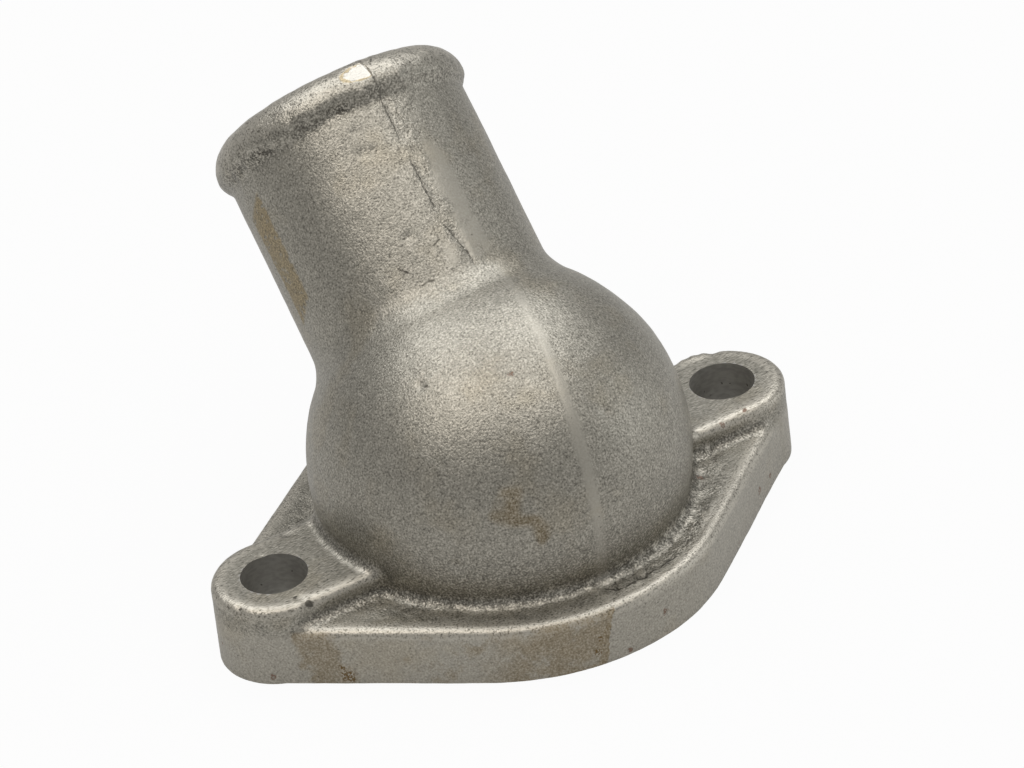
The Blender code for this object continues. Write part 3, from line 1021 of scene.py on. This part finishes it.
def machined_face(finish, shape):
    """The gasket face: arcs that the milling cutter left, about a far centre, with pores, dull patches and
    brown stains."""
    material, board = new_material("machined_face")
    place = board.place(shape.centre_y)
    cutter_centre, cutter_feed = (-140.0, 25.0, 0.0), 0.9
    from_centre = board.distance(place, cutter_centre)
    arcs = (from_centre * (2 * math.pi / cutter_feed)).math("SINE") * 0.5 + 0.5
    scatter = board.noise(place, 0.35, 2.0)
    patches = board.noise(place, 9.0, 3.0, 0.6)
    pores = board.dots(board.shaken(place, 1.5, 0.3), 2.6, 0.3, 0.3)
    colour = board.blend(patches.between(0.35, 0.65) * 0.5, finish.ground_iron, finish.iron)
    colour = board.blend(arcs * scatter * 0.5, colour, finish.dark_iron_and_shade)
    colour = board.blend(patches.between(0.62, 0.72) * 0.45, colour, finish.rust)
    colour = board.blend(pores * 0.85, colour, finish.dark_iron_and_shade)
    height = arcs * 0.008 + scatter * 0.012 - pores * 0.12
    inputs = {"Base Color": colour, "Metallic": 0.9, "Roughness": patches * 0.25 + 0.25}
    finish_surface(board, inputs, height)
    return material


def drilled_wall(finish, shape):
    """The bolt holes: the drill's fine rings, small pits and a grey film."""
    material, board = new_material("drilled_wall")
    place = board.place(shape.centre_y)
    _, _, z = board.split(place)
    scatter = board.noise(board.vectors("MULTIPLY", place, (1.0, 1.0, 2.0)), 1.2, 3.0)
    drill_feed = 0.5
    rings = ((z + scatter * 0.3) * (2 * math.pi / drill_feed)).math("SINE") * 0.5 + 0.5
    pits = board.dots(board.shaken(place, 1.5, 0.3), 1.5, 0.24, 0.5)
    colour = board.blend(scatter.between(0.35, 0.7) * 0.25, finish.film, finish.dark_iron_and_shade)
    colour = board.blend(pits * 0.8, colour, finish.dark_iron_and_shade)
    height = rings * 0.008 + scatter * 0.03 - pits * 0.1
    inputs = {"Base Color": colour, "Metallic": 0.6, "Roughness": scatter * 0.2 + 0.35}
    finish_surface(board, inputs, height)
    return material


# Pieces

# How near a point lies to a surface that it belongs to, in millimetres
AT_HOLE = 0.1
AT_GASKET_FACE = 0.02
AT_CAVITY = 0.6

THIN_SHARE = 0.72
SHARP_ANGLE = math.radians(50)


def mesh_object(name, points, quads, materials, kinds):
    """An object of a mesh in row coordinates, with a material for each face by its kind."""
    mesh = bpy.data.meshes.new(name)
    mesh.from_pydata(points, [], quads)
    for material in materials:
        mesh.materials.append(material)
    mesh.polygons.foreach_set("material_index", kinds)
    obj = bpy.data.objects.new(name, mesh)
    bpy.context.collection.objects.link(obj)
    return obj


def face_kinds(shape, points, quads):
    """Nought on the cast skin, one on the gasket face and two in the drilled holes."""
    middle = points[quads].mean(axis=1)
    hole = np.abs(shape.drillings(*middle.T)) < AT_HOLE
    gasket = middle[:, 2] < AT_GASKET_FACE
    return np.where(gasket, 1, np.where(hole, 2, 0)).astype(np.int32)


def thin_inside(obj, shape, points):
    """Thins the mesh inside the cavity and on the flat gasket face, where it needs fewer faces, and shades
    it smooth up to its sharp edges."""
    hidden = (np.abs(shape.cavity(*points.T)) < AT_CAVITY) | (points[:, 2] < AT_GASKET_FACE)
    group = obj.vertex_groups.new(name="hidden")
    group.add(np.nonzero(hidden)[0].tolist(), 1.0, "ADD")
    thin = obj.modifiers.new("thin", "DECIMATE")
    thin.ratio = THIN_SHARE
    thin.vertex_group = group.name
    graph = bpy.context.evaluated_depsgraph_get()
    mesh = bpy.data.meshes.new_from_object(obj.evaluated_get(graph))
    obj.modifiers.clear()
    obj.vertex_groups.clear()
    mesh.shade_smooth()
    mesh.set_sharp_from_angle(angle=SHARP_ANGLE)
    obj.data = mesh


def lay_masks(obj, shape, mould):
    """Writes each mask of the mould as a number on every point of the mesh, for the skin's material."""
    mesh = obj.data
    flat = np.empty(3 * len(mesh.vertices), np.float32)
    mesh.vertices.foreach_get("co", flat)
    points = flat.reshape(-1, 3).astype(float) / MM - (0.0, shape.centre_y, 0.0)
    for name, values in mould.masks(points).items():
        mesh.attributes.new(name, "FLOAT", "POINT").data.foreach_set("value", values.astype(np.float32))


class HOUSING_OT_casting(bpy.types.Operator):
    """Builds the housing's cast and machined iron over its solid"""

    bl_idname = "housing.casting"
    bl_label = "Casting"

    def execute(self, context):
        sizes, finish = context.scene.housing_sizes, context.scene.housing_finish
        shape = Shape(sizes)
        pitch = finish.pitch / MM * 1
        mould = Mould(shape, finish)
        skin = Skin(shape, mould.relief, pitch)
        points = (skin.points + (0.0, shape.centre_y, 0.0)) * MM
        materials = [finish_of(finish, shape) for finish_of in (cast_skin, machined_face, drilled_wall)]
        kinds = face_kinds(shape, skin.points, skin.quads)
        housing = mesh_object("housing_iron", points, skin.quads, materials, kinds)
        thin_inside(housing, shape, skin.points)
        lay_masks(housing, shape, mould)
        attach(housing, "root")
        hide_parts(HOUSING_NODE)
        return {"FINISHED"}


# The studio

# Name, azimuth and elevation in degrees, power in watts, and colour
LAMPS = (
    ("front_lamp", 18.2, 60.0, 3.3, (1.0, 0.96, 0.92)),
    ("right_lamp", 108.2, 60.0, 5.0, (0.985, 0.99, 1.0)),
    ("back_lamp", 198.2, 60.0, 4.3, (0.985, 0.99, 1.0)),
    ("left_lamp", -71.8, 60.0, 4.5, (1.0, 0.945, 0.89)),
    ("side_lamp", 63.2, 8.0, 1.9, (0.97, 0.99, 1.0)),
)
LAMP_AIM = (0.0, 0.0, 0.03)
LAMP_DISTANCE = 1.2
LAMP_SIZE = 0.7

CAMERA_PLACE = (-265.6, -543.9, 417.07)
CAMERA_AZIMUTH = math.radians(-26.785)
CAMERA_ELEVATION = math.radians(32.975)
CAMERA_ROLL = math.radians(-7.405)
CAMERA_LENS = 160.67
CAMERA_SENSOR = 36.0

FLOOR_EDGE = 3.0
FLOOR_PAPER = (0.5, 0.5, 0.5)
FLOOR_GLOW = 0.95
AIR_LIGHT = 0.32
MIRRORED = 0.35
WHITE = (1.0, 1.0, 1.0)


def direction(azimuth, elevation):
    """The unit vector at an azimuth, which is nought at -Y and grows towards +X, and an elevation."""
    flat = math.cos(elevation)
    return Vector((math.sin(azimuth) * flat, -math.cos(azimuth) * flat, math.sin(elevation)))


def add_camera(context):
    """The camera at the photograph's viewing angle, rolled about its line of sight."""
    back = direction(CAMERA_AZIMUTH, CAMERA_ELEVATION)
    level = Vector((0, 0, 1)).cross(back).normalized()
    upright = back.cross(level)
    right = level * math.cos(CAMERA_ROLL) + upright * math.sin(CAMERA_ROLL)
    up = upright * math.cos(CAMERA_ROLL) - level * math.sin(CAMERA_ROLL)
    data = bpy.data.cameras.new("camera")
    data.lens = CAMERA_LENS
    data.sensor_width = CAMERA_SENSOR
    camera = bpy.data.objects.new("camera", data)
    turn = Matrix((right, up, back)).transposed().to_4x4()
    camera.matrix_world = Matrix.Translation(Vector(CAMERA_PLACE) * MM) @ turn
    context.collection.objects.link(camera)
    context.scene.camera = camera


def add_lamp(context, name, azimuth, elevation, power, tone):
    """A square lamp that looks at the housing from a direction, given in degrees."""
    towards = direction(math.radians(azimuth), math.radians(elevation))
    data = bpy.data.lights.new(name, "AREA")
    data.size = LAMP_SIZE
    data.energy = power
    data.color = tone
    lamp = bpy.data.objects.new(name, data)
    lamp.location = Vector(LAMP_AIM) + towards * LAMP_DISTANCE
    lamp.rotation_euler = towards.to_track_quat("Z", "Y").to_euler()
    context.collection.objects.link(lamp)


def seen_rays(board):
    """One for the rays that show the background straight or through glass, and a share for mirrored ones."""
    path = board.node("ShaderNodeLightPath")
    kinds = ("Camera", "Glossy", "Transmission")
    camera, glossy, glass = (Wire(board, path.socket.node.outputs[f"Is {kind} Ray"]) for kind in kinds)
    return camera.most(glass).most(glossy * MIRRORED)


def add_floor(context):
    """A plain square floor of grey paper, which looks almost white straight from the camera."""
    material, board = new_material("floor_paper")
    paper = board.node("ShaderNodeBsdfDiffuse", inputs={"Color": solid_colour(FLOOR_PAPER)})
    glow = board.node("ShaderNodeEmission", inputs={"Color": solid_colour(WHITE), "Strength": 1.0})
    share = seen_rays(board) * FLOOR_GLOW
    mixed = board.node("ShaderNodeMixShader", inputs={0: share, 1: paper, 2: glow})
    board.node("ShaderNodeOutputMaterial", inputs={"Surface": mixed})
    mesh = bpy.data.meshes.new("floor")
    corners = [(x * FLOOR_EDGE, y * FLOOR_EDGE, 0) for x, y in ((-1, -1), (1, -1), (1, 1), (-1, 1))]
    mesh.from_pydata(corners, [], [(0, 1, 2, 3)])
    mesh.materials.append(material)
    floor = bpy.data.objects.new("floor", mesh)
    context.collection.objects.link(floor)


def add_air(context):
    """The world, which looks white straight from the camera and gives a soft light to the housing."""
    world = bpy.data.worlds.new("studio_air")
    world.use_nodes = True
    board = Board(world.node_tree)
    strength = seen_rays(board).most(AIR_LIGHT)
    light = board.node("ShaderNodeBackground", inputs={"Color": solid_colour(WHITE), "Strength": strength})
    board.node("ShaderNodeOutputWorld", inputs={"Surface": light})
    context.scene.world = world


class HOUSING_OT_studio(bpy.types.Operator):
    """Builds the pale floor, the soft lamps, the world and the camera"""

    bl_idname = "housing.studio"
    bl_label = "Studio"

    def execute(self, context):
        add_floor(context)
        add_air(context)
        for lamp in LAMPS:
            add_lamp(context, *lamp)
        add_camera(context)
        context.scene.view_settings.view_transform = "Standard"
        return {"FINISHED"}


class HOUSING_PT_panel(bpy.types.Panel):
    """Lists the steps that build the housing and its studio"""

    bl_idname = "HOUSING_PT_panel"
    bl_label = "Thermostat housing"
    bl_space_type = "VIEW_3D"
    bl_region_type = "UI"
    bl_category = "Housing"

    def draw(self, context):
        for name in HOUSING_PG_sizes.__annotations__:
            self.layout.prop(context.scene.housing_sizes, name)
        for name in HOUSING_PG_finish.__annotations__:
            self.layout.prop(context.scene.housing_finish, name)
        for step in STEPS:
            self.layout.operator(step.bl_idname)


STEPS = (HOUSING_OT_casting, HOUSING_OT_studio)
CLASSES = (HOUSING_PG_sizes, HOUSING_PG_finish, *STEPS, HOUSING_PT_panel)


def register():
    """Registers the classes and gives the scene its two groups of settings."""
    for item in CLASSES:
        bpy.utils.register_class(item)
    bpy.types.Scene.housing_sizes = PointerProperty(type=HOUSING_PG_sizes)
    bpy.types.Scene.housing_finish = PointerProperty(type=HOUSING_PG_finish)


def unregister():
    """Takes away what register added."""
    del bpy.types.Scene.housing_finish
    del bpy.types.Scene.housing_sizes
    for item in reversed(CLASSES):
        bpy.utils.unregister_class(item)


def main():
    """Builds the housing and its studio."""
    register()
    bpy.ops.housing.casting()
    bpy.ops.housing.studio()


if __name__ == "__main__":
    main()
